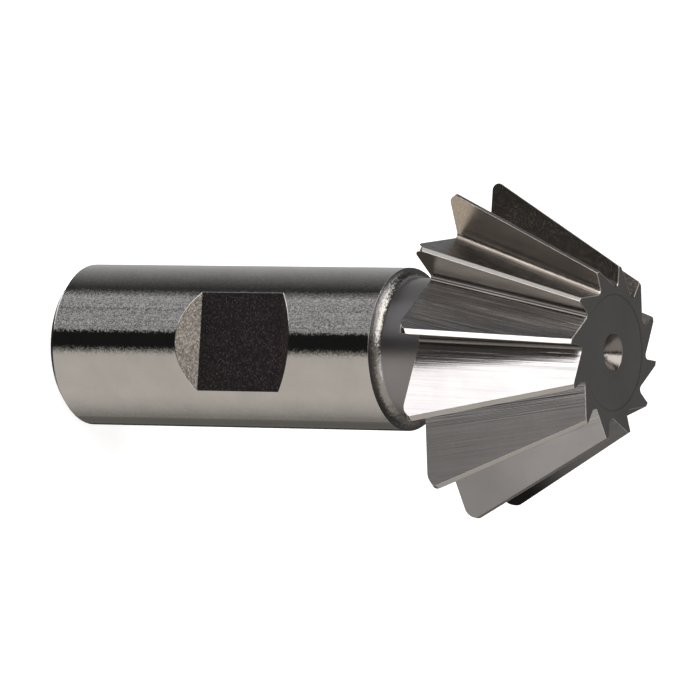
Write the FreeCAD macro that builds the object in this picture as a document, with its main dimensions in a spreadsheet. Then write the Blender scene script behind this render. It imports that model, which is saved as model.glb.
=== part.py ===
import FreeCAD, Part
import Sketcher
import math
import os

# Chamfer milling cutter, one solid of high-speed steel, millimetres.
#
# The cutter stands on the end of its shank. The origin is the centre of the shank's end face, +Z runs
# along the cutter's axis to the toothed end, and the driving flat on the shank faces -Y.

# How a sketch numbers the ends and centre of its lines and arcs, and its own axes
START, END, CENTRE = range(1, 4)
X_AXIS, Y_AXIS = (-axis for axis in range(1, 3))
ORIGIN = (X_AXIS, START)

doc = FreeCAD.newDocument("chamfer_cutter")
sheet = doc.addObject("Spreadsheet::Sheet", "Sizes")

# Driving sizes
SIZES = [
    ("shank_diameter", 19.05, "ground shank, 3/4 inch"),
    ("shank_length", 44.2, "full diameter, with the rear chamfer"),
    ("rear_chamfer", 0.8, "45 degree chamfer on the shank's end"),
    ("seam_angle", -22.5, "seam line of the turned faces, from +X"),
    ("flat_centre", 25.6, "middle of the driving flat, from the shank's end"),
    ("flat_length", 11.1, "floor of the driving flat, along the shank"),
    ("flat_depth", 1.97, "floor of the driving flat, below the shank's surface"),
    ("flat_wall_angle", 41, "slope of the flat's two end walls, from its floor"),
    ("neck_depth", 1.175, "relief between shank and head, below the shank's surface"),
    ("neck_length", 9.8, "shank's front edge to the back of the head"),
    ("head_diameter", 40.2, "largest diameter of the cone, over its sharp corner"),
    ("head_width", 17.45, "back of the head to the end face"),
    ("cone_angle", 60, "included angle of the cutting edges"),
    ("corner_radius", 0.8, "rounded outer corner of the teeth"),
    ("teeth", 12, "number of teeth"),
    ("tooth_phase_angle", -1, "turn of the first rake face from +X"),
    ("flute_root_back", 14.3, "bottom of the flute from the axis, at the back of the head"),
    ("flute_root_front", 7.3, "bottom of the flute from the axis, at the end face"),
    ("flute_angle", 71.9, "angle between rake face and tooth back, square to the flute"),
    ("flute_fillet", 0.5, "rounding at the bottom of the flute"),
    ("relief_angle", 8, "clearance of the land behind the cutting edge"),
    ("dish_diameter", 13.6, "shallow hollow ground in the end face"),
    ("dish_depth", 0.12, "depth of that hollow"),
    ("dish_wall_angle", 30, "slope of the hollow's edge, from the end face"),
    ("centre_diameter", 4.5, "mouth of the centre hole"),
    ("centre_angle", 60, "included angle of the centre hole"),
    ("pilot_diameter", 1.6, "drilled bottom of the centre hole"),
    ("pilot_depth", 1.8, "straight part of the drilled bottom"),
    ("drill_point_angle", 118, "included angle of the drilled end"),
]
for row, (alias, value, meaning) in enumerate(SIZES, start=1):
    sheet.set(f"A{row}", alias.replace("_", " "))
    sheet.set(f"B{row}", str(value))
    sheet.set(f"C{row}", meaning)
    sheet.setAlias(f"B{row}", alias)
doc.recompute()


def size(alias):
    """The value of a driving size, for the places where a drawing starts before it is solved."""
    return float(sheet.get(alias))


def plane(body, role):
    """One of the body's own origin planes or axes."""
    return next(item for item in body.Origin.OriginFeatures if item.Role == role)


def new_sketch(name, role):
    """An empty sketch on one of the cutter's origin planes."""
    sketch = cutter.newObject("Sketcher::SketchObject", name)
    sketch.AttachmentSupport = [(plane(cutter, role), "")]
    sketch.MapMode = "FlatFace"
    return sketch


def line(sketch, first, last):
    ends = [FreeCAD.Vector(*point, 0) for point in (first, last)]
    return sketch.addGeometry(Part.LineSegment(*ends), False)


def arc(sketch, centre, radius, from_angle, to_angle):
    """A counter-clockwise arc, its angles in degrees."""
    circle = Part.Circle(FreeCAD.Vector(*centre, 0), FreeCAD.Vector(0, 0, 1), radius)
    angles = [math.radians(angle) for angle in (from_angle, to_angle)]
    return sketch.addGeometry(Part.ArcOfCircle(circle, *angles), False)


def tie(sketch, kind, *where):
    sketch.addConstraint(Sketcher.Constraint(kind, *where))


def touching_ends(sketch, first, second):
    """Which end of one line or arc lies on which end of the other."""
    pairs = [(a, b) for a in (START, END) for b in (START, END)]
    return min(pairs, key=lambda ends: sketch.getPoint(first, ends[0]).distanceToPoint(
        sketch.getPoint(second, ends[1])))


def join(sketch, outline, smooth=()):
    """Close an outline, with a tangent joint at each pair named in smooth."""
    for first, second in zip(outline, outline[1:] + outline[:1]):
        end_a, end_b = touching_ends(sketch, first, second)
        kind = "Tangent" if (first, second) in smooth else "Coincident"
        tie(sketch, kind, first, end_a, second, end_b)


def dimension(sketch, name, expression, kind, *where):
    """A named dimension that follows the sheet."""
    result = sheet.evalExpression(expression)
    start = float(getattr(result, "Value", result))
    if kind == "Angle":
        start = math.radians(start)
    index = sketch.addConstraint(Sketcher.Constraint(kind, *where, start))
    sketch.renameConstraint(index, name)
    sketch.setExpression(f"Constraints.{name}", expression)


cutter = doc.addObject("PartDesign::Body", "cutter")
cutter.Label = "cutter"

# Turned blank: shank, neck and cone, revolved about the cutter's axis. The plane of its profile is turned
# from +X, so that the seam of the shank's face, and the points that divide its round evenly from there,
# lie beside the driving flat.
shank_r = size("shank_diameter") / 2
fillet = size("neck_depth")
neck_r = shank_r - fillet
chamfer = size("rear_chamfer")
head_back = size("shank_length") + size("neck_length")
head_front = head_back + size("head_width")
half_angle = size("cone_angle") / 2
corner = size("corner_radius")
head_r = size("head_diameter") / 2
tip_r = head_r - size("head_width") * math.tan(math.radians(half_angle))
corner_x = head_r - corner / math.tan(math.radians(45 - half_angle / 2))
cone_x = corner_x + corner * math.cos(math.radians(half_angle))
cone_z = head_back + corner + corner * math.sin(math.radians(half_angle))

blank_sketch = new_sketch("blank_profile", "XZ_Plane")
blank_sketch.setExpression("AttachmentOffset", "placement(vector(0; 0; 0); rotation(0; Sizes.seam_angle; 0))")
rear_face = line(blank_sketch, (0, 0), (shank_r - chamfer, 0))
rear_edge = line(blank_sketch, (shank_r - chamfer, 0), (shank_r, chamfer))
shank = line(blank_sketch, (shank_r, chamfer), (shank_r, size("shank_length")))
shoulder = arc(blank_sketch, (shank_r, size("shank_length") + fillet), fillet, 180, 270)
neck = line(blank_sketch, (neck_r, size("shank_length") + fillet), (neck_r, head_back - fillet))
neck_end = arc(blank_sketch, (neck_r + fillet, head_back - fillet), fillet, 90, 180)
back_face = line(blank_sketch, (neck_r + fillet, head_back), (corner_x, head_back))
outer_corner = arc(blank_sketch, (corner_x, head_back + corner), corner, -90, half_angle)
cone = line(blank_sketch, (cone_x, cone_z), (tip_r, head_front))
end_face = line(blank_sketch, (tip_r, head_front), (0, head_front))
middle = line(blank_sketch, (0, head_front), (0, 0))
sharp_corner = blank_sketch.addGeometry(Part.Point(FreeCAD.Vector(head_r, head_back, 0)), True)

join(blank_sketch,
     [rear_face, rear_edge, shank, shoulder, neck, neck_end, back_face, outer_corner, cone, end_face,
      middle],
     smooth=[(shoulder, neck), (neck, neck_end), (neck_end, back_face), (back_face, outer_corner),
             (outer_corner, cone)])
tie(blank_sketch, "Coincident", rear_face, START, *ORIGIN)
tie(blank_sketch, "Vertical", middle)
tie(blank_sketch, "Vertical", shank)
tie(blank_sketch, "Vertical", neck)
tie(blank_sketch, "Horizontal", rear_face)
tie(blank_sketch, "Horizontal", back_face)
tie(blank_sketch, "Horizontal", end_face)
tie(blank_sketch, "Vertical", shoulder, CENTRE, shank, END)
tie(blank_sketch, "Equal", shoulder, neck_end)
tie(blank_sketch, "PointOnObject", sharp_corner, START, back_face)
tie(blank_sketch, "PointOnObject", sharp_corner, START, cone)
dimension(blank_sketch, "shank_radius", "Sizes.shank_diameter / 2", "DistanceX", *ORIGIN, shank, START)
dimension(blank_sketch, "rear_chamfer_width", "Sizes.rear_chamfer",
          "DistanceX", rear_edge, START, rear_edge, END)
dimension(blank_sketch, "rear_chamfer_height", "Sizes.rear_chamfer",
          "DistanceY", rear_edge, START, rear_edge, END)
dimension(blank_sketch, "shank_end", "Sizes.shank_length", "DistanceY", *ORIGIN, shank, END)
dimension(blank_sketch, "neck_drop", "Sizes.neck_depth", "DistanceX", neck, START, shank, END)
dimension(blank_sketch, "neck_run", "Sizes.neck_length", "DistanceY", shank, END, back_face, START)
dimension(blank_sketch, "head_run", "Sizes.head_width", "DistanceY", back_face, END, end_face, START)
dimension(blank_sketch, "head_radius", "Sizes.head_diameter / 2", "DistanceX", *ORIGIN, sharp_corner, START)
dimension(blank_sketch, "corner_rounding", "Sizes.corner_radius", "Radius", outer_corner)
dimension(blank_sketch, "cone_slope", "Sizes.cone_angle / 2", "Angle", middle, END, cone, START)

blank = cutter.newObject("PartDesign::Revolution", "blank")
blank.Profile = blank_sketch
blank.ReferenceAxis = (blank_sketch, ["V_Axis"])
blank.Angle = 360
doc.recompute()

# Driving flat: milled across the shank, with a sloping wall at each end of its floor
floor_y = -(shank_r - size("flat_depth"))
open_y = -shank_r - size("flat_depth")
flat_low = size("flat_centre") - size("flat_length") / 2
flat_high = flat_low + size("flat_length")
wall_run = (floor_y - open_y) / math.tan(math.radians(size("flat_wall_angle")))

flat_sketch = new_sketch("driving_flat_profile", "YZ_Plane")
floor = line(flat_sketch, (floor_y, flat_low), (floor_y, flat_high))
front_wall = line(flat_sketch, (floor_y, flat_high), (open_y, flat_high + wall_run))
outside = line(flat_sketch, (open_y, flat_high + wall_run), (open_y, flat_low - wall_run))
rear_wall = line(flat_sketch, (open_y, flat_low - wall_run), (floor_y, flat_low))
join(flat_sketch, [floor, front_wall, outside, rear_wall])
tie(flat_sketch, "Vertical", floor)
tie(flat_sketch, "Vertical", outside)
tie(flat_sketch, "Equal", front_wall, rear_wall)
dimension(flat_sketch, "floor_from_axis", "Sizes.shank_diameter / 2 - Sizes.flat_depth",
          "DistanceX", floor, START, *ORIGIN)
dimension(flat_sketch, "cut_height", "2 * Sizes.flat_depth", "DistanceX", outside, END, floor, START)
dimension(flat_sketch, "floor_start", "Sizes.flat_centre - Sizes.flat_length / 2",
          "DistanceY", *ORIGIN, floor, START)
dimension(flat_sketch, "floor_run", "Sizes.flat_length", "DistanceY", floor, START, floor, END)
dimension(flat_sketch, "wall_run", "2 * Sizes.flat_depth / tan(Sizes.flat_wall_angle)",
          "DistanceY", front_wall, START, front_wall, END)

driving_flat = cutter.newObject("PartDesign::Pocket", "driving_flat")
driving_flat.Profile = flat_sketch
driving_flat.Midplane = True
driving_flat.Length = size("shank_diameter")
driving_flat.setExpression("Length", "2 * Sizes.shank_diameter")
doc.recompute()


def centre_hole(name, face_z, face_height, inward):
    """A 60 degree centre hole with a drilled bottom, in the end face at height face_z.

    The cutter is turned and ground between two such holes. face_height is the expression that gives the
    face's height, or empty at the shank's end. inward is +1 where the hole runs up from the shank's end
    and -1 where it runs down from the toothed end.
    """
    mouth = size("centre_diameter") / 2
    pilot = size("pilot_diameter") / 2
    cone_depth = (mouth - pilot) / math.tan(math.radians(size("centre_angle") / 2))
    bore_depth = cone_depth + size("pilot_depth")
    point_depth = bore_depth + pilot / math.tan(math.radians(size("drill_point_angle") / 2))

    def at(radius, depth):
        return (radius, face_z + inward * depth)

    sketch = new_sketch(name + "_profile", "XZ_Plane")
    face = line(sketch, at(0, 0), at(mouth, 0))
    countersink = line(sketch, at(mouth, 0), at(pilot, cone_depth))
    bore = line(sketch, at(pilot, cone_depth), at(pilot, bore_depth))
    point = line(sketch, at(pilot, bore_depth), at(0, point_depth))
    centre_line = line(sketch, at(0, point_depth), at(0, 0))
    join(sketch, [face, countersink, bore, point, centre_line])
    tie(sketch, "Horizontal", face)
    tie(sketch, "Vertical", bore)
    tie(sketch, "PointOnObject", point, END, Y_AXIS)
    tie(sketch, "PointOnObject", face, START, Y_AXIS)
    if face_height:
        dimension(sketch, "face_height", face_height, "DistanceY", *ORIGIN, face, START)
    else:
        tie(sketch, "PointOnObject", face, START, X_AXIS)
    dimension(sketch, "mouth_radius", "Sizes.centre_diameter / 2", "DistanceX", face, START, face, END)
    dimension(sketch, "pilot_radius", "Sizes.pilot_diameter / 2", "DistanceX", *ORIGIN, bore, START)
    lower, upper = (START, END) if inward > 0 else (END, START)
    dimension(sketch, "countersink_depth",
              "(Sizes.centre_diameter - Sizes.pilot_diameter) / 2 / tan(Sizes.centre_angle / 2)",
              "DistanceY", countersink, lower, countersink, upper)
    dimension(sketch, "pilot_run", "Sizes.pilot_depth", "DistanceY", bore, lower, bore, upper)
    dimension(sketch, "point_run", "Sizes.pilot_diameter / 2 / tan(Sizes.drill_point_angle / 2)",
              "DistanceY", point, lower, point, upper)

    hole = cutter.newObject("PartDesign::Groove", name)
    hole.Profile = sketch
    hole.ReferenceAxis = (sketch, ["V_Axis"])
    hole.Angle = 360
    doc.recompute()


FRONT_HEIGHT = "Sizes.shank_length + Sizes.neck_length + Sizes.head_width"
centre_hole("shank_centre_hole", 0, "", 1)
centre_hole("end_centre_hole", head_front, FRONT_HEIGHT, -1)

# Shallow hollow in the end face, ground inside the roots of the flutes
dish_r = size("dish_diameter") / 2
dish_floor_r = dish_r - size("dish_depth") / math.tan(math.radians(size("dish_wall_angle")))
dish_z = head_front - size("dish_depth")

dish_sketch = new_sketch("end_dish_profile", "XZ_Plane")
dish_mouth = line(dish_sketch, (0, head_front), (dish_r, head_front))
dish_wall = line(dish_sketch, (dish_r, head_front), (dish_floor_r, dish_z))
dish_floor = line(dish_sketch, (dish_floor_r, dish_z), (0, dish_z))
dish_middle = line(dish_sketch, (0, dish_z), (0, head_front))
join(dish_sketch, [dish_mouth, dish_wall, dish_floor, dish_middle])
tie(dish_sketch, "Horizontal", dish_mouth)
tie(dish_sketch, "Horizontal", dish_floor)
tie(dish_sketch, "Vertical", dish_middle)
tie(dish_sketch, "PointOnObject", dish_mouth, START, Y_AXIS)
dimension(dish_sketch, "face_height", FRONT_HEIGHT, "DistanceY", *ORIGIN, dish_mouth, START)
dimension(dish_sketch, "dish_radius", "Sizes.dish_diameter / 2",
          "DistanceX", dish_mouth, START, dish_mouth, END)
dimension(dish_sketch, "dish_drop", "Sizes.dish_depth",
          "DistanceY", dish_middle, START, dish_middle, END)
dimension(dish_sketch, "dish_wall_run", "Sizes.dish_depth / tan(Sizes.dish_wall_angle)",
          "DistanceX", dish_wall, END, dish_wall, START)

end_dish = cutter.newObject("PartDesign::Groove", "end_dish")
end_dish.Profile = dish_sketch
end_dish.ReferenceAxis = (dish_sketch, ["V_Axis"])
end_dish.Angle = 360
doc.recompute()

# One flute, milled straight through the cone with an angle cutter: its rake wall lies in a plane through
# the axis and its other wall becomes the back of the next tooth. The sketch is square to the flute's root,
# which falls towards the axis as it nears the end face. Sketch x points out from the root along the rake
# wall, and y points ahead of it.
ROOT_SLOPE = "atan((Sizes.flute_root_back - Sizes.flute_root_front) / Sizes.head_width)"
BACK_HEIGHT = "(Sizes.shank_length + Sizes.neck_length)"
WALL_LENGTH = "(Sizes.head_diameter / 2 - Sizes.flute_root_back + Sizes.head_width / 2)"
root_slope = math.atan((size("flute_root_back") - size("flute_root_front")) / size("head_width"))
flute_angle = math.radians(size("flute_angle"))
flute_fillet = size("flute_fillet")
wall_length = head_r - size("flute_root_back") + size("head_width") / 2
root_tangent = flute_fillet / math.tan(flute_angle / 2)


def place_across(sketch, radius, slope):
    """Turn a sketch square to a line that leaves the head's back at radius and falls inward by slope."""
    turn = "Sizes.tooth_phase_angle"
    start = f"vector({radius} * cos({turn}); {radius} * sin({turn}); {BACK_HEIGHT})"
    sketch.setExpression("AttachmentOffset", f"placement({start}; rotation({turn}; -1 * {slope}; 0))")


def milled_along(name, sketch):
    """A straight cut along the sketch's own normal, from well behind the head to past its end face."""
    cut = cutter.newObject("PartDesign::Pocket", name)
    cut.Profile = sketch
    cut.Midplane = True
    cut.Length = size("head_width")
    cut.setExpression("Length", "4 * Sizes.head_width")
    doc.recompute()
    return cut


flute_sketch = new_sketch("flute_profile", "XY_Plane")
place_across(flute_sketch, "Sizes.flute_root_back", ROOT_SLOPE)
rake_wall = line(flute_sketch, (root_tangent, 0), (wall_length, 0))
mouth_line = line(flute_sketch, (wall_length, 0),
                  (wall_length * math.cos(flute_angle), wall_length * math.sin(flute_angle)))
tooth_back = line(flute_sketch,
                  (wall_length * math.cos(flute_angle), wall_length * math.sin(flute_angle)),
                  (root_tangent * math.cos(flute_angle), root_tangent * math.sin(flute_angle)))
root = arc(flute_sketch, (root_tangent, flute_fillet), flute_fillet, 90 + size("flute_angle"), 270)
root_point = flute_sketch.addGeometry(Part.Point(FreeCAD.Vector(0, 0, 0)), True)
join(flute_sketch, [rake_wall, mouth_line, tooth_back, root],
     smooth=[(tooth_back, root), (root, rake_wall)])
tie(flute_sketch, "Coincident", root_point, START, *ORIGIN)
tie(flute_sketch, "PointOnObject", rake_wall, END, X_AXIS)
tie(flute_sketch, "Horizontal", rake_wall)
tie(flute_sketch, "PointOnObject", root_point, START, tooth_back)
dimension(flute_sketch, "flute_opening", "Sizes.flute_angle", "Angle", rake_wall, START, tooth_back, END)
dimension(flute_sketch, "root_rounding", "Sizes.flute_fillet", "Radius", root)
dimension(flute_sketch, "rake_reach", WALL_LENGTH, "DistanceX", *ORIGIN, rake_wall, END)
dimension(flute_sketch, "back_reach", WALL_LENGTH + " * sin(Sizes.flute_angle)",
          "DistanceY", *ORIGIN, tooth_back, START)
flute = milled_along("flute", flute_sketch)

# Land of one tooth: the cone is ground away behind the cutting edge by the relief angle. The sketch is
# square to the cutting edge, and its origin lies on it. The cut reaches back past the land's far edge.
LAND_REACH = "Sizes.head_diameter / 8"
relief = math.radians(size("relief_angle"))
land_reach = float(sheet.evalExpression(LAND_REACH))

land_sketch = new_sketch("land_profile", "XY_Plane")
place_across(land_sketch, "(Sizes.head_diameter / 2)", "(Sizes.cone_angle / 2)")
drop = land_reach * math.tan(relief)
land = line(land_sketch, (0, 0), (-drop, -land_reach))
land_side = line(land_sketch, (-drop, -land_reach), (land_reach, -land_reach))
land_top = line(land_sketch, (land_reach, -land_reach), (land_reach, 0))
land_front = line(land_sketch, (land_reach, 0), (0, 0))
join(land_sketch, [land, land_side, land_top, land_front])
tie(land_sketch, "Coincident", land, START, *ORIGIN)
tie(land_sketch, "Horizontal", land_front)
tie(land_sketch, "Horizontal", land_side)
tie(land_sketch, "Vertical", land_top)
dimension(land_sketch, "land_drop", LAND_REACH + " * tan(Sizes.relief_angle)",
          "DistanceX", land, END, *ORIGIN)
dimension(land_sketch, "land_run", LAND_REACH, "DistanceY", land, END, *ORIGIN)
dimension(land_sketch, "land_clearance", LAND_REACH, "DistanceX", *ORIGIN, land_top, END)
land_relief = milled_along("land_relief", land_sketch)

# The same flute and land for every tooth
cutting_teeth = cutter.newObject("PartDesign::PolarPattern", "cutting_teeth")
cutting_teeth.Originals = [flute, land_relief]
cutting_teeth.Axis = (plane(cutter, "Z_Axis"), [""])
cutting_teeth.Angle = 360
cutting_teeth.setExpression("Occurrences", "Sizes.teeth")
cutter.Tip = cutting_teeth
doc.recompute()

failed = [item.Name for item in doc.Objects if {"Invalid", "Error"} & set(item.State)]
if failed:
    raise SystemExit(f"not solved: {', '.join(failed)}")
loose = [item.Name for item in doc.Objects if item.isDerivedFrom("Sketcher::SketchObject") and item.solve()]
if loose:
    raise SystemExit(f"sketches not solved: {', '.join(loose)}")
if cutter.Shape.isNull() or not cutter.Shape.isValid() or len(cutter.Shape.Solids) != 1:
    raise SystemExit("the cutter is not one valid solid")

os.makedirs("parts", exist_ok=True)
cutter.Shape.exportStep(f"parts/{cutter.Label}.step")
box = cutter.Shape.optimalBoundingBox()
print(f"{cutter.Label}: {cutter.Shape.Volume:.1f} mm3,",
      f"{box.XLength:.2f} x {box.YLength:.2f} x {box.ZLength:.2f} mm")
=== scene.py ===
import math
import bpy
from mathutils import Matrix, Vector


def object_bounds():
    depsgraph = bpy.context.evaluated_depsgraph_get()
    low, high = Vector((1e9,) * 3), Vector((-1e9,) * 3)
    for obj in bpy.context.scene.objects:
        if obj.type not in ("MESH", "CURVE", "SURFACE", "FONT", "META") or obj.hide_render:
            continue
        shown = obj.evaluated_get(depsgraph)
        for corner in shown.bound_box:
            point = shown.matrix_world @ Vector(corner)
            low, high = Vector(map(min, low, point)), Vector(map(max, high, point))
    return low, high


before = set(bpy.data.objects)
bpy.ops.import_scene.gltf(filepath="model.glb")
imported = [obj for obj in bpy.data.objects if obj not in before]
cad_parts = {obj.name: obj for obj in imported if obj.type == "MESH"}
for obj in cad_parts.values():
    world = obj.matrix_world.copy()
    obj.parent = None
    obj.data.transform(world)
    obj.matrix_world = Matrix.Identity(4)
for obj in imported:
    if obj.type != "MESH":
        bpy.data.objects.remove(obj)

cad_low, cad_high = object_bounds()


# The cutter: one piece of high-speed steel, turned from bar, its driving flat and flutes milled, then
# hardened and ground. The CAD node keeps its shape and gets one steel whose finish changes from place to
# place, as the turning tool, the milling cutters and the grinding wheel left it. The teeth also carry painted
# light and shade, and the head's edges a painted highlight.

def linear(hex_colour):
    """An sRGB hex colour as the linear colour that a shader takes."""
    parts = [int(hex_colour[i:i + 2], 16) / 255 for i in (1, 3, 5)]
    return (*(p / 12.92 if p <= 0.04045 else ((p + 0.055) / 1.055) ** 2.4 for p in parts), 1.0)


def add(tree, kind, inputs=(), **settings):
    """A node with its settings, its inputs given as values or linked to other nodes' outputs."""
    made = tree.nodes.new(kind)
    for name, value in settings.items():
        setattr(made, name, value)
    for name, value in dict(inputs).items():
        if isinstance(value, bpy.types.NodeSocket):
            tree.links.new(value, made.inputs[name])
        else:
            made.inputs[name].default_value = value
    return made


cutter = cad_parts["cutter"]

# Sizes of the cutter in millimetres, by which its surfaces are told apart
SHANK_R, NECK_R = 9.525, 8.35
SHANK_FRONT = 44.2                 # front edge of the shank, where the shoulder fillet starts
FLAT_BACK = 17.8                   # rear end of the driving flat
HEAD_BACK, HEAD_FRONT = 54.0, 1000 * cad_high[2]
ROOT_BACK, ROOT_FRONT = 14.3, 7.3  # radius of the flutes' roots at the back and the front of the head
ROOT_BLEND = 0.67                  # how far the rounding of a root reaches up the tooth's back
DISH_R, HOLE_R = 6.8, 2.25         # edge of the dish in the end face, mouth of the centre hole
TEETH = 12
FIRST_RAKE = math.radians(-1)      # turn of the first rake face from +X
FLUTE_ANGLE = math.radians(71.9)   # between a rake face and the tooth back that faces it
CONE_SLOPE = math.radians(30)      # between the teeth's lands and the axis, before their relief
RELIEF = math.radians(8)
DISH_SLOPE = math.radians(30)
ROOT_SLOPE = math.atan((ROOT_BACK - ROOT_FRONT) / (HEAD_FRONT - HEAD_BACK))

# The steel is bare high-speed steel, hardened to a warm grey and then ground or left as milled. It gives
# dark mirror-like bands on the shank, satin greys on the teeth with painted light and shade, and bright
# rubbed edges with a painted highlight.
steel = bpy.data.materials.new("ground_high_speed_steel")
steel.use_nodes = True
tree = steel.node_tree
tree.nodes.clear()

place = add(tree, "ShaderNodeTexCoord").outputs["Object"]
mm = add(tree, "ShaderNodeVectorMath", {0: place, "Scale": 1000.0}, operation="SCALE").outputs[0]
x, y, z = add(tree, "ShaderNodeSeparateXYZ", {0: mm}).outputs
geometry = add(tree, "ShaderNodeNewGeometry")
steep = add(tree, "ShaderNodeSeparateXYZ", {0: geometry.outputs["True Normal"]}).outputs[2]
level_part = add(tree, "ShaderNodeVectorMath", {0: mm, 1: (1.0, 1.0, 0.0)}, operation="MULTIPLY").outputs[0]
radius = add(tree, "ShaderNodeVectorMath", {0: level_part}, operation="LENGTH").outputs["Value"]
around = add(tree, "ShaderNodeMath", {0: y, 1: x}, operation="ARCTAN2").outputs[0]

# Tests of place (height, radius) and of slope (the normal's rise): name, value, test, limit, width
TESTS = (
    ("in_head", z, "GREATER_THAN", HEAD_BACK + 0.02, 0.0),
    ("past_shank", z, "GREATER_THAN", SHANK_FRONT - 0.01, 0.0),
    ("off_end", z, "GREATER_THAN", FLAT_BACK - 1.8, 0.0),
    ("at_fillet", z, "COMPARE", SHANK_FRONT + (SHANK_R - NECK_R) / 2, 0.57),
    ("inside_round", radius, "LESS_THAN", SHANK_R - 0.04, 0.0),
    ("off_neck", radius, "GREATER_THAN", NECK_R + 0.01, 0.0),
    ("near_axis", radius, "LESS_THAN", HOLE_R + 0.01, 0.0),
    ("out_of_hole", radius, "GREATER_THAN", HOLE_R + 0.75, 0.0),
    ("facing_down", steep, "LESS_THAN", -0.9, 0.0),
    ("facing_up", steep, "GREATER_THAN", 0.8, 0.0),
    ("not_level", steep, "LESS_THAN", 0.9, 0.0),
    ("wall_slope", steep, "COMPARE", 0.0, 0.3),
    ("land_slope", steep, "COMPARE", math.sin(CONE_SLOPE) * math.cos(RELIEF), 0.05),
    ("back_slope", steep, "COMPARE", math.sin(FLUTE_ANGLE) * math.sin(ROOT_SLOPE), 0.02),
    ("rake_slope", steep, "COMPARE", 0.0, 0.01),
    ("ring_slope", steep, "COMPARE", math.cos(DISH_SLOPE), 0.06),
)
on = {}
for name, value, test, limit, width in TESTS:
    on[name] = add(tree, "ShaderNodeMath", {0: value, 1: limit, 2: width}, operation=test,
                   label=name).outputs[0]

# Each surface of the cutter as two tests put together: 1 on the surface, 0 off it
SURFACES = (
    ("cut_in", "inside_round", "off_end", "MULTIPLY"),
    ("flat", "cut_in", "past_shank", "SUBTRACT"),
    ("flat_floor", "flat", "wall_slope", "MULTIPLY"),
    ("flat_walls", "flat", "flat_floor", "SUBTRACT"),
    ("fillet", "at_fillet", "off_neck", "MULTIPLY"),
    ("neck", "past_shank", "in_head", "SUBTRACT"),
    ("head_outside", "in_head", "out_of_hole", "MULTIPLY"),
    ("land", "land_slope", "head_outside", "MULTIPLY"),
    ("back", "back_slope", "head_outside", "MULTIPLY"),
    ("rake", "rake_slope", "head_outside", "MULTIPLY"),
    ("end", "facing_up", "in_head", "MULTIPLY"),
    ("ring", "ring_slope", "head_outside", "MULTIPLY"),
    ("hole", "near_axis", "not_level", "MULTIPLY"),
    ("shank_end", "facing_down", "off_end", "SUBTRACT"),
)
for name, first, second, joined in SURFACES:
    on[name] = add(tree, "ShaderNodeMath", {0: on[first], 1: on[second]}, operation=joined, use_clamp=True,
                   label=name).outputs[0]

# Place inside one flute: turned back by whole teeth to the first one, then along its root and up its back.
# A flute is taken to start 0.3 degrees before its rake face, so that all of that face is its own.
pitch = 2 * math.pi / TEETH
flute_start = FIRST_RAKE - math.radians(0.3)
flute_turn = add(tree, "ShaderNodeMath", {0: around, 1: flute_start}, operation="SUBTRACT").outputs[0]
flute_count = add(tree, "ShaderNodeMath", {0: flute_turn, 1: pitch}, operation="DIVIDE").outputs[0]
flute_number = add(tree, "ShaderNodeMath", {0: flute_count}, operation="FLOOR").outputs[0]
turn_back = add(tree, "ShaderNodeMath", {0: flute_number, 1: -pitch, 2: -FIRST_RAKE},
                operation="MULTIPLY_ADD").outputs[0]
in_flute = add(tree, "ShaderNodeVectorRotate", {"Vector": mm, "Angle": turn_back},
               rotation_type="Z_AXIS").outputs[0]
from_root = add(tree, "ShaderNodeVectorMath", {0: in_flute, 1: (ROOT_BACK, 0.0, HEAD_BACK)},
                operation="SUBTRACT").outputs[0]
root_way = (-math.sin(ROOT_SLOPE), 0.0, math.cos(ROOT_SLOPE))
back_way = (math.cos(FLUTE_ANGLE) * math.cos(ROOT_SLOPE), math.sin(FLUTE_ANGLE),
            math.cos(FLUTE_ANGLE) * math.sin(ROOT_SLOPE))
along = add(tree, "ShaderNodeVectorMath", {0: from_root, 1: root_way},
            operation="DOT_PRODUCT").outputs["Value"]
up_back = add(tree, "ShaderNodeVectorMath", {0: from_root, 1: back_way},
              operation="DOT_PRODUCT").outputs["Value"]
off_root = add(tree, "ShaderNodeMath", {0: up_back, 1: ROOT_BLEND}, operation="GREATER_THAN").outputs[0]
on["back"] = add(tree, "ShaderNodeMath", {0: on["back"], 1: off_root}, operation="MULTIPLY").outputs[0]

# The flutes came out unlike one another. This is partly their own tarnish, each milled in its own pass, and
# partly painted light and shade, standing in for the reflections and shade that each face gets from its
# neighbours and the studio.
# In turn from +X, each row gives how bright its tooth back, rake face and root are, how streaked, how grainy,
# and how dark its rear end is painted.
FLUTES = (
    (0.64, 0.50, 0.42, 0.20, 0.3, 0.97),
    (0.50, 0.50, 0.42, 0.60, 0.3, 0.30),
    (0.55, 0.50, 0.42, 0.60, 0.3, 0.20),
    (0.59, 0.53, 0.42, 0.60, 0.3, 0.20),
    (0.59, 0.50, 0.42, 0.60, 0.6, 0.20),
    (0.55, 0.40, 0.50, 0.60, 1.0, 0.20),
    (0.52, 0.62, 0.85, 0.80, 1.0, 0.20),
    (0.13, 0.92, 0.88, 0.95, 0.2, 0.00),
    (1.00, 0.16, 0.30, 0.86, 0.2, 0.00),
    (0.61, 0.12, 0.28, 0.62, 0.2, 0.05),
    (0.47, 0.50, 0.35, 0.64, 0.2, 0.12),
    (0.57, 0.50, 0.42, 0.25, 0.2, 0.25),
)
flute_row = add(tree, "ShaderNodeMath", {0: flute_number, 1: float(TEETH), 2: 0.0},
                operation="WRAP").outputs[0]
flute_share = add(tree, "ShaderNodeMath", {0: flute_row, 1: 1 / TEETH, 2: 0.5 / TEETH},
                  operation="MULTIPLY_ADD").outputs[0]
columns = []
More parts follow.
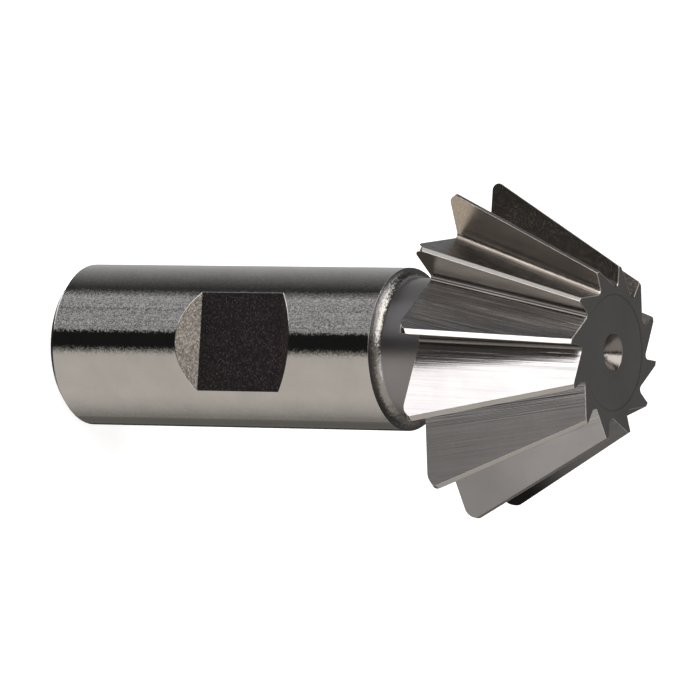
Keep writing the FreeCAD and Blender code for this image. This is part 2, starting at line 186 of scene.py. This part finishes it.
for first in (0, 3):
    ramp = add(tree, "ShaderNodeValToRGB", {"Fac": flute_share})
    ramp.color_ramp.interpolation = "CONSTANT"
    ramp.color_ramp.elements.remove(ramp.color_ramp.elements[1])
    for number, row in enumerate(FLUTES):
        stop = ramp.color_ramp.elements[0] if number == 0 else ramp.color_ramp.elements.new(number / TEETH)
        stop.color = (*row[first:first + 3], 1.0)
    columns += add(tree, "ShaderNodeSeparateColor", {0: ramp.outputs["Color"]}).outputs
back_tone_and_painted_light, rake_tone_and_painted_light, root_tone_and_painted_light, flute_streaks, flute_grain, painted_rear_shade_amount = columns

# Streaks that the angle cutter's teeth left along each flute, 0.05 to 0.2 mm apart and many millimetres
# long, with broader dark ones beside the root. Each flute takes its own slice of the pattern.
STREAK_GAP, BROAD_GAP = 1 / 6.5, 1 / 1.6        # mm, the widest from one streak to the next
STREAK_STRETCH = 0.012
SLICE_STEP = 7.3
long_way = add(tree, "ShaderNodeMath", {0: along, 1: STREAK_STRETCH}, operation="MULTIPLY").outputs[0]
own_slice = add(tree, "ShaderNodeMath", {0: flute_number, 1: SLICE_STEP}, operation="MULTIPLY").outputs[0]
streak_place = add(tree, "ShaderNodeCombineXYZ", {0: long_way, 1: up_back, 2: own_slice}).outputs[0]
streaks = add(tree, "ShaderNodeTexNoise", {
    "Vector": streak_place, "Scale": 1 / STREAK_GAP, "Detail": 1.5, "Roughness": 0.6}).outputs["Fac"]
coarse_place = add(tree, "ShaderNodeVectorMath", {0: streak_place, 1: (3.0, 1.0, 1.0)},
                   operation="MULTIPLY").outputs[0]
coarse = add(tree, "ShaderNodeTexNoise", {
    "Vector": coarse_place, "Scale": 1 / BROAD_GAP, "Detail": 4.0, "Roughness": 0.6}).outputs["Fac"]
far_streaks = add(tree, "ShaderNodeMath", {0: flute_streaks, 1: 6.0}, operation="POWER").outputs[0]
streaked = add(tree, "ShaderNodeMapRange", {
    "Value": up_back, 1: 0.6, 2: 4.0, 3: flute_streaks, 4: far_streaks},
    interpolation_type="SMOOTHSTEP").outputs[0]

# Fine grain that hardening left in the surface: facets 0.17 mm across, drawn coarser than the real ones
FACET = 1 / 6                                   # mm
facets = add(tree, "ShaderNodeTexVoronoi", {"Vector": mm, "Scale": 1 / FACET}).outputs["Color"]
facet_tilt = add(tree, "ShaderNodeVectorMath", {0: facets, 1: (0.5, 0.5, 0.5)},
                 operation="SUBTRACT").outputs[0]
facet_number = add(tree, "ShaderNodeSeparateColor", {0: facets}).outputs[0]

# Rings 0.2 mm apart that the turning tool left round the neck and across the shank's end
RING_GAP = 1 / 5                                # mm
ring_place = add(tree, "ShaderNodeCombineXYZ", {0: z, 1: radius, 2: 0.0}).outputs[0]
rings = add(tree, "ShaderNodeTexNoise", {
    "Vector": ring_place, "Scale": 1 / RING_GAP, "Detail": 4.0, "Roughness": 0.7}).outputs["Fac"]

# Faint clouding from handling, 4.5 mm across
CLOUD = 1 / 0.22                                # mm
clouds = add(tree, "ShaderNodeTexNoise", {
    "Vector": mm, "Scale": 1 / CLOUD, "Detail": 3.0, "Roughness": 0.55}).outputs["Fac"]
clouding = add(tree, "ShaderNodeMapRange", {"Value": clouds, 1: 0.3, 2: 0.7, 3: 0.94, 4: 1.05}).outputs[0]

# How each surface was finished: where, colour, then (roughness, grain, streaks)
# The gullets' colour is scaled by each flute's root value: partly their own tone, partly painted light and
# shade
gullet = add(tree, "ShaderNodeVectorMath", {0: linear("#D8D2CC")[:3], "Scale": root_tone_and_painted_light},
             operation="SCALE").outputs[0]
tone, work = linear("#C5C4C2"), (0.06, 0.55, 0.0)       # the shank, ground and polished: a near mirror
FINISHES = (
    ("flat_floor", linear("#B4A8AC"), (0.20, 0.3, 0.0)),    # milled across: satin
    ("flat_walls", linear("#ABA49C"), (0.20, 0.6, 0.0)),    # left by the corner of the same milling cutter
    ("shank_end", linear("#A8A5A2"), (0.26, 0.3, 0.0)),     # faced in the lathe: satin with fine rings
    ("neck", linear("#949294"), (0.31, 0.0, 0.0)),          # turned: soft, wide reflections
    ("fillet", linear("#AAA8A4"), (0.24, 2.8, 0.0)),        # turned with a round tool, sparkling a little
    ("in_head", gullet, (0.24, 0.3, 0.4)),                  # gullets and back of the head, milled and turned
    ("back", linear("#E9E9EC"), (0.22, 0.12, 1.0)),         # milled along: streaky
    ("rake", linear("#C0B6A9"), (0.24, 0.45, 0.0)),         # milled by the face of the angle cutter: satin
    ("land", linear("#C5C4C2"), (0.18, 0.1, 0.0)),          # ground for relief: bright, even
    ("end", linear("#B8B3B1"), (0.26, 0.2, 0.0)),           # ground flat
    ("ring", linear("#9C9795"), (0.30, 0.3, 0.0)),          # dished by grinding
    ("hole", linear("#8D8986"), (0.22, 0.8, 0.0)),          # drilled by a centre drill
)
for name, colour, worked in FINISHES:
    tone = add(tree, "ShaderNodeMix", {0: on[name], 6: tone, 7: colour}, data_type="RGBA",
               label=name).outputs[2]
    work = add(tree, "ShaderNodeMix", {0: on[name], 4: work, 5: worked}, data_type="VECTOR",
               label=name).outputs[1]
roughness, grain_share, streak_share = add(tree, "ShaderNodeSeparateXYZ", {0: work}).outputs

# Brightness of the surface: dark lines in the streaks, the flute's own tone with its painted light and shade,
# painted shade darkening the rear end of the tooth backs, pin points on the flat and on the grainy rake
# faces, and the clouding
streak_share = add(tree, "ShaderNodeMath", {0: streaked, 1: streak_share}, operation="MULTIPLY").outputs[0]
streak_mix = add(tree, "ShaderNodeMath", {0: coarse, 1: streaks}, operation="MULTIPLY").outputs[0]
dark_lines = add(tree, "ShaderNodeMapRange", {
    "Value": streak_mix, 1: 0.15, 2: 0.35, 3: 0.25, 4: 1.75}).outputs[0]
scratches = add(tree, "ShaderNodeMapRange", {"Value": streaks, 1: 0.31, 2: 0.37, 3: 0.15, 4: 1.0}).outputs[0]
rake_grain = add(tree, "ShaderNodeMath", {0: on["rake"], 1: flute_grain}, operation="MULTIPLY").outputs[0]
point_share = add(tree, "ShaderNodeMath", {0: rake_grain, 1: on["flat_floor"]},
                  operation="MAXIMUM").outputs[0]
points = add(tree, "ShaderNodeMapRange", {"Value": facet_number, 1: 0.55, 2: 1.0, 3: 0.85, 4: 1.9}).outputs[0]
# Painted shade: tooth backs darker towards the head's rear, standing in for the shade and dark reflections
# there
painted_rear_ramp = add(tree, "ShaderNodeMapRange", {
    "Value": z, 1: HEAD_BACK + 2.5, 2: HEAD_BACK + 12.0, 3: 1.0, 4: 0.0},
    interpolation_type="SMOOTHSTEP").outputs[0]
painted_rear_share = add(tree, "ShaderNodeMath", {0: painted_rear_ramp, 1: painted_rear_shade_amount}, operation="MULTIPLY").outputs[0]
painted_rear_shade = add(tree, "ShaderNodeMath", {0: 1.0, 1: painted_rear_share}, operation="SUBTRACT").outputs[0]
brightness_and_painted_light = clouding
# The flute values and the rear darkening multiply painted light and shade into the tone
for share, changed in ((streak_share, dark_lines), (streak_share, scratches), (point_share, points),
                       (on["rake"], rake_tone_and_painted_light), (on["back"], back_tone_and_painted_light), (on["back"], painted_rear_shade)):
    kept = add(tree, "ShaderNodeMix", {0: share, 2: 1.0, 3: changed}, data_type="FLOAT").outputs[0]
    brightness_and_painted_light = add(tree, "ShaderNodeMath", {0: brightness_and_painted_light, 1: kept}, operation="MULTIPLY").outputs[0]
tone = add(tree, "ShaderNodeVectorMath", {0: tone, "Scale": brightness_and_painted_light}, operation="SCALE").outputs[0]

# Edges of the head are broken by 0.1 mm, and round the end face by 0.18 mm. Between the rear of the head
# and the end face they are lightened as rubbed steel and with a painted highlight
BROKEN, BROKEN_AT_FRONT = 0.0001, 0.00018       # in metres
edge_radius = add(tree, "ShaderNodeMapRange", {
    "Value": z, 1: HEAD_FRONT - 1.25, 2: HEAD_FRONT - 0.65, 3: BROKEN, 4: BROKEN_AT_FRONT}).outputs[0]
edge = add(tree, "ShaderNodeBevel", {"Radius": edge_radius}, samples=6).outputs[0]
turned_by = add(tree, "ShaderNodeVectorMath", {0: edge, 1: geometry.outputs["Normal"]},
                operation="DOT_PRODUCT").outputs["Value"]
at_root = add(tree, "ShaderNodeMath", {0: up_back, 1: ROOT_BLEND + 0.03}, operation="LESS_THAN").outputs[0]
root_line = add(tree, "ShaderNodeMath", {0: at_root, 1: on["in_head"]}, operation="MULTIPLY").outputs[0]
off_rear = add(tree, "ShaderNodeMath", {0: z, 1: HEAD_BACK + 0.6}, operation="GREATER_THAN").outputs[0]
at_dish = add(tree, "ShaderNodeMath", {0: radius, 1: DISH_R, 2: 0.4}, operation="COMPARE").outputs[0]
not_rubbed_or_highlighted = add(tree, "ShaderNodeMath", {0: root_line, 1: at_dish}, operation="MAXIMUM").outputs[0]
rub_and_highlight_most = add(tree, "ShaderNodeMath", {0: off_rear, 1: not_rubbed_or_highlighted}, operation="SUBTRACT",
               use_clamp=True).outputs[0]
rubbed_and_highlighted = add(tree, "ShaderNodeMapRange", {
    "Value": turned_by, 1: 0.985, 2: 0.93, 3: 0.0, 4: rub_and_highlight_most}).outputs[0]
# Painted highlight: the edges' colour is lightened towards near white, on top of their rubbed wear
tone = add(tree, "ShaderNodeMix", {0: rubbed_and_highlighted, 6: tone, 7: linear("#ECE6DF")}, data_type="RGBA").outputs[2]
roughness = add(tree, "ShaderNodeMath", {0: rubbed_and_highlighted, 1: 0.3, 2: roughness},
                operation="MULTIPLY_ADD").outputs[0]

# Which way each spot faces: the broken edges, sharp at the rear of the head and round the dish, the dish
# blended into the end face, then the small leans of the grain's facets, the streaks and the rings
FACET_LEAN = 0.08
at_rear = add(tree, "ShaderNodeMath", {0: z, 1: HEAD_BACK, 2: 0.35}, operation="COMPARE").outputs[0]
sharp = add(tree, "ShaderNodeMath", {0: at_rear, 1: at_dish}, operation="MAXIMUM").outputs[0]
normal = add(tree, "ShaderNodeMix", {0: sharp, 4: edge, 5: geometry.outputs["Normal"]},
             data_type="VECTOR").outputs[1]
ring_blend = add(tree, "ShaderNodeMath", {0: on["ring"], 1: 0.88}, operation="MULTIPLY").outputs[0]
normal = add(tree, "ShaderNodeMix", {0: ring_blend, 4: normal, 5: (0.0, 0.0, 1.0)},
             data_type="VECTOR").outputs[1]
flute_part = add(tree, "ShaderNodeMix", {0: on["rake"], 2: 1.0, 3: flute_grain}, data_type="FLOAT").outputs[0]
grain_share = add(tree, "ShaderNodeMath", {0: grain_share, 1: flute_part}, operation="MULTIPLY").outputs[0]
most_lean = add(tree, "ShaderNodeMath", {0: grain_share, 1: FACET_LEAN}, operation="MULTIPLY").outputs[0]
leaning = add(tree, "ShaderNodeVectorMath", {0: facet_tilt, "Scale": most_lean}, operation="SCALE").outputs[0]
leant = add(tree, "ShaderNodeVectorMath", {0: normal, 1: leaning}, operation="ADD").outputs[0]
normal = add(tree, "ShaderNodeVectorMath", {0: leant}, operation="NORMALIZE").outputs[0]
ring_share = add(tree, "ShaderNodeMath", {0: on["neck"], 1: on["shank_end"]}, operation="MAXIMUM").outputs[0]
STREAK_DEPTH, RING_DEPTH = 0.00005, 0.000006    # in metres
for pattern, share, depth in ((streaks, streak_share, STREAK_DEPTH), (rings, ring_share, RING_DEPTH)):
    height = add(tree, "ShaderNodeMath", {0: pattern, 1: share}, operation="MULTIPLY").outputs[0]
    normal = add(tree, "ShaderNodeBump", {"Height": height, "Distance": depth, "Normal": normal}).outputs[0]

surface = add(tree, "ShaderNodeBsdfPrincipled", {
    "Base Color": tone, "Metallic": 1.0, "Roughness": roughness, "Normal": normal})
add(tree, "ShaderNodeOutputMaterial", {"Surface": surface.outputs[0]})
cutter.material_slots[0].material = steel


# The table: a plain sheet of white card that the cutter stands on, four metres wide. It keeps the cutter's
# soft shadow, and the steel mirrors the studio round it.
TABLE_HALF = 2.0
card_mesh = bpy.data.meshes.new("table")
card_mesh.from_pydata([(-TABLE_HALF, -TABLE_HALF, 0), (TABLE_HALF, -TABLE_HALF, 0),
                       (TABLE_HALF, TABLE_HALF, 0), (-TABLE_HALF, TABLE_HALF, 0)], [], [(0, 1, 2, 3)])
table = bpy.data.objects.new("table", card_mesh)
bpy.context.scene.collection.objects.link(table)
table.location.z = -0.00002        # just clear of the cutter's end
table.visible_glossy = False
table.visible_shadow = False

# Matt white card, lit until it is white to the eye
card = bpy.data.materials.new("white_card")
card.use_nodes = True
tree = card.node_tree
tree.nodes.clear()
to_camera = add(tree, "ShaderNodeLightPath").outputs["Is Camera Ray"]
matt = add(tree, "ShaderNodeBsdfDiffuse", {"Color": linear("#E6E6E6")})
glow = add(tree, "ShaderNodeEmission", {"Color": linear("#FFFFFF"), "Strength": 0.72})
seen_glow = add(tree, "ShaderNodeMixShader", {0: to_camera, 2: glow.outputs[0]})
both = add(tree, "ShaderNodeAddShader", {0: matt.outputs[0], 1: seen_glow.outputs[0]})
add(tree, "ShaderNodeOutputMaterial", {"Surface": both.outputs[0]})
card_mesh.materials.append(card)


# The studio: soft boxes, cards and walls round the cutter, drawn in the world by their direction. Azimuth
# is 0 along -Y and 90 along +X. For each: azimuth from and to, elevation from and to, how soft those four
# edges are, all in degrees, then its level and its colour.
PANELS = {
    "main soft box": ((-75, -12), (2, 58), (16, 5, 5, 8), 2.5, "#FFFAF6"),
    "its wing": ((-108, -72), (26, 62), (12, 8, 10, 8), 2.4, "#FFFFFF"),
    "warm side panel": ((13, 111), (-75, 48), (7, 36, 8, 10), 0.60, "#FFF7EE"),
    "cool side lamp": ((25, 47), (-9, 7), (8, 8, 8, 6), 1.40, "#E9EFFF"),
    "warm table": ((22, 100), (-75, -14), (14, 25, 8, 8), 0.06, "#FFF7EE"),
    "crinkled foil": ((-77, -17), (-46, -25), (8, 3, 5, 3), 0.40, "#FFFCFE"),
    "low lamp": ((-128, -32), (-74, -47), (14, 6, 4, 5), 4.0, "#FFFFFF"),
    "low lamp behind": ((-146, -90), (-64, -42), (10, 8, 5, 5), 4.0, "#FFFFFF"),
    "back card": ((-184, -114), (-50, -5), (5, 42, 6, 12), 0.44, "#FFFEFD"),
    "overhead": ((-400, 400), (54, 100), (10, 10, 12, 5), 0.6, "#FFFFFF"),
    "far wall": ((-212, -140), (8, 60), (14, 14, 12, 12), 0.10, "#FFFFFF"),
    "side wall": ((100, 163), (-75, -18), (20, 6, 12, 8), 0.13, "#FFF7EE"),
    "side glow": ((134, 165), (-20, 14), (8, 6, 8, 8), 0.18, "#FFF7EE"),
}
ROOM = 0.014                       # level of the dark room between them
CRINKLE = 1 / 38                   # width of a crinkle in the foil, in radians

world = bpy.data.worlds.new("studio")
bpy.context.scene.world = world
world.use_nodes = True
tree = world.node_tree
tree.nodes.clear()
way = add(tree, "ShaderNodeTexCoord").outputs["Generated"]
to_x, to_y, to_z = add(tree, "ShaderNodeSeparateXYZ", {0: way}).outputs
minus_y = add(tree, "ShaderNodeMath", {0: to_y, 1: -1.0}, operation="MULTIPLY").outputs[0]
turn = add(tree, "ShaderNodeMath", {0: to_x, 1: minus_y}, operation="ARCTAN2").outputs[0]
azimuth = add(tree, "ShaderNodeMath", {0: turn, 1: 180 / math.pi}, operation="MULTIPLY").outputs[0]
rise = add(tree, "ShaderNodeMath", {0: to_z}, operation="ARCSINE").outputs[0]
elevation = add(tree, "ShaderNodeMath", {0: rise, 1: 180 / math.pi}, operation="MULTIPLY").outputs[0]
light = (ROOM, ROOM, ROOM)
for name, (across, upright, blurs, level, tint) in PANELS.items():
    middle = sum(across) / 2
    near = add(tree, "ShaderNodeMath", {0: azimuth, 1: middle + 180, 2: middle - 180}, operation="WRAP",
               label=name).outputs[0]
    edges = [(elevation, upright[0], blurs[2]), (elevation, upright[1], -blurs[3])]
    if across[1] - across[0] < 360:
        edges += [(near, across[0], blurs[0]), (near, across[1], -blurs[1])]
    share = 1.0
    for value, edge_at, blur in edges:
        step = add(tree, "ShaderNodeMapRange", {
            "Value": value, 1: edge_at - blur, 2: edge_at + blur, 3: 0.0, 4: 1.0},
            interpolation_type="SMOOTHSTEP").outputs[0]
        share = add(tree, "ShaderNodeMath", {0: share, 1: step}, operation="MULTIPLY").outputs[0]
    if name == "crinkled foil":
        crinkles = add(tree, "ShaderNodeTexNoise", {
            "Vector": way, "Scale": 1 / CRINKLE, "Detail": 0.0}).outputs["Fac"]
        crinkled = add(tree, "ShaderNodeMapRange", {
            "Value": crinkles, 1: 0.34, 2: 0.66, 3: 0.25, 4: 1.75}).outputs[0]
        share = add(tree, "ShaderNodeMath", {0: share, 1: crinkled}, operation="MULTIPLY").outputs[0]
    colour = [level * c for c in linear(tint)[:3]]
    part = add(tree, "ShaderNodeVectorMath", {0: colour, "Scale": share}, operation="SCALE").outputs[0]
    light = add(tree, "ShaderNodeVectorMath", {0: light, 1: part}, operation="ADD").outputs[0]
studio = add(tree, "ShaderNodeBackground", {"Color": light, "Strength": 1.0})
backdrop = add(tree, "ShaderNodeBackground", {"Color": linear("#FFFFFF"), "Strength": 1.0})
to_camera = add(tree, "ShaderNodeLightPath").outputs["Is Camera Ray"]
shown = add(tree, "ShaderNodeMixShader", {0: to_camera, 1: studio.outputs[0], 2: backdrop.outputs[0]})
add(tree, "ShaderNodeOutputWorld", {"Surface": shown.outputs[0]})


# The camera: a long lens about 1.06 m from the middle of the cutter, 31 degrees above the table and
# turned on its side, so that the cutter lies across the picture as in the photograph
AIM = (0.0001804, 0.0000131, 0.0360501)        # in metres
DISTANCE = 1.0582515
AZIMUTH = math.radians(4.167891)               # 0 along -Y, as for the panels
ELEVATION = math.radians(31.066485)
ROLL = math.radians(90.901880)
camera = bpy.data.objects.new("camera", bpy.data.cameras.new("camera"))
bpy.context.scene.collection.objects.link(camera)
aimed = Matrix.Rotation(AZIMUTH, 4, "Z") @ Matrix.Rotation(math.pi / 2 - ELEVATION, 4, "X")
turned = aimed @ Matrix.Rotation(ROLL, 4, "Z")
camera.matrix_world = Matrix.Translation(AIM) @ turned @ Matrix.Translation((0, 0, DISTANCE))
camera.data.sensor_width = 36
camera.data.lens = 465.471
camera.data.clip_start = 0.1
camera.data.clip_end = 20
bpy.context.scene.camera = camera
bpy.context.scene.view_settings.view_transform = "Standard"
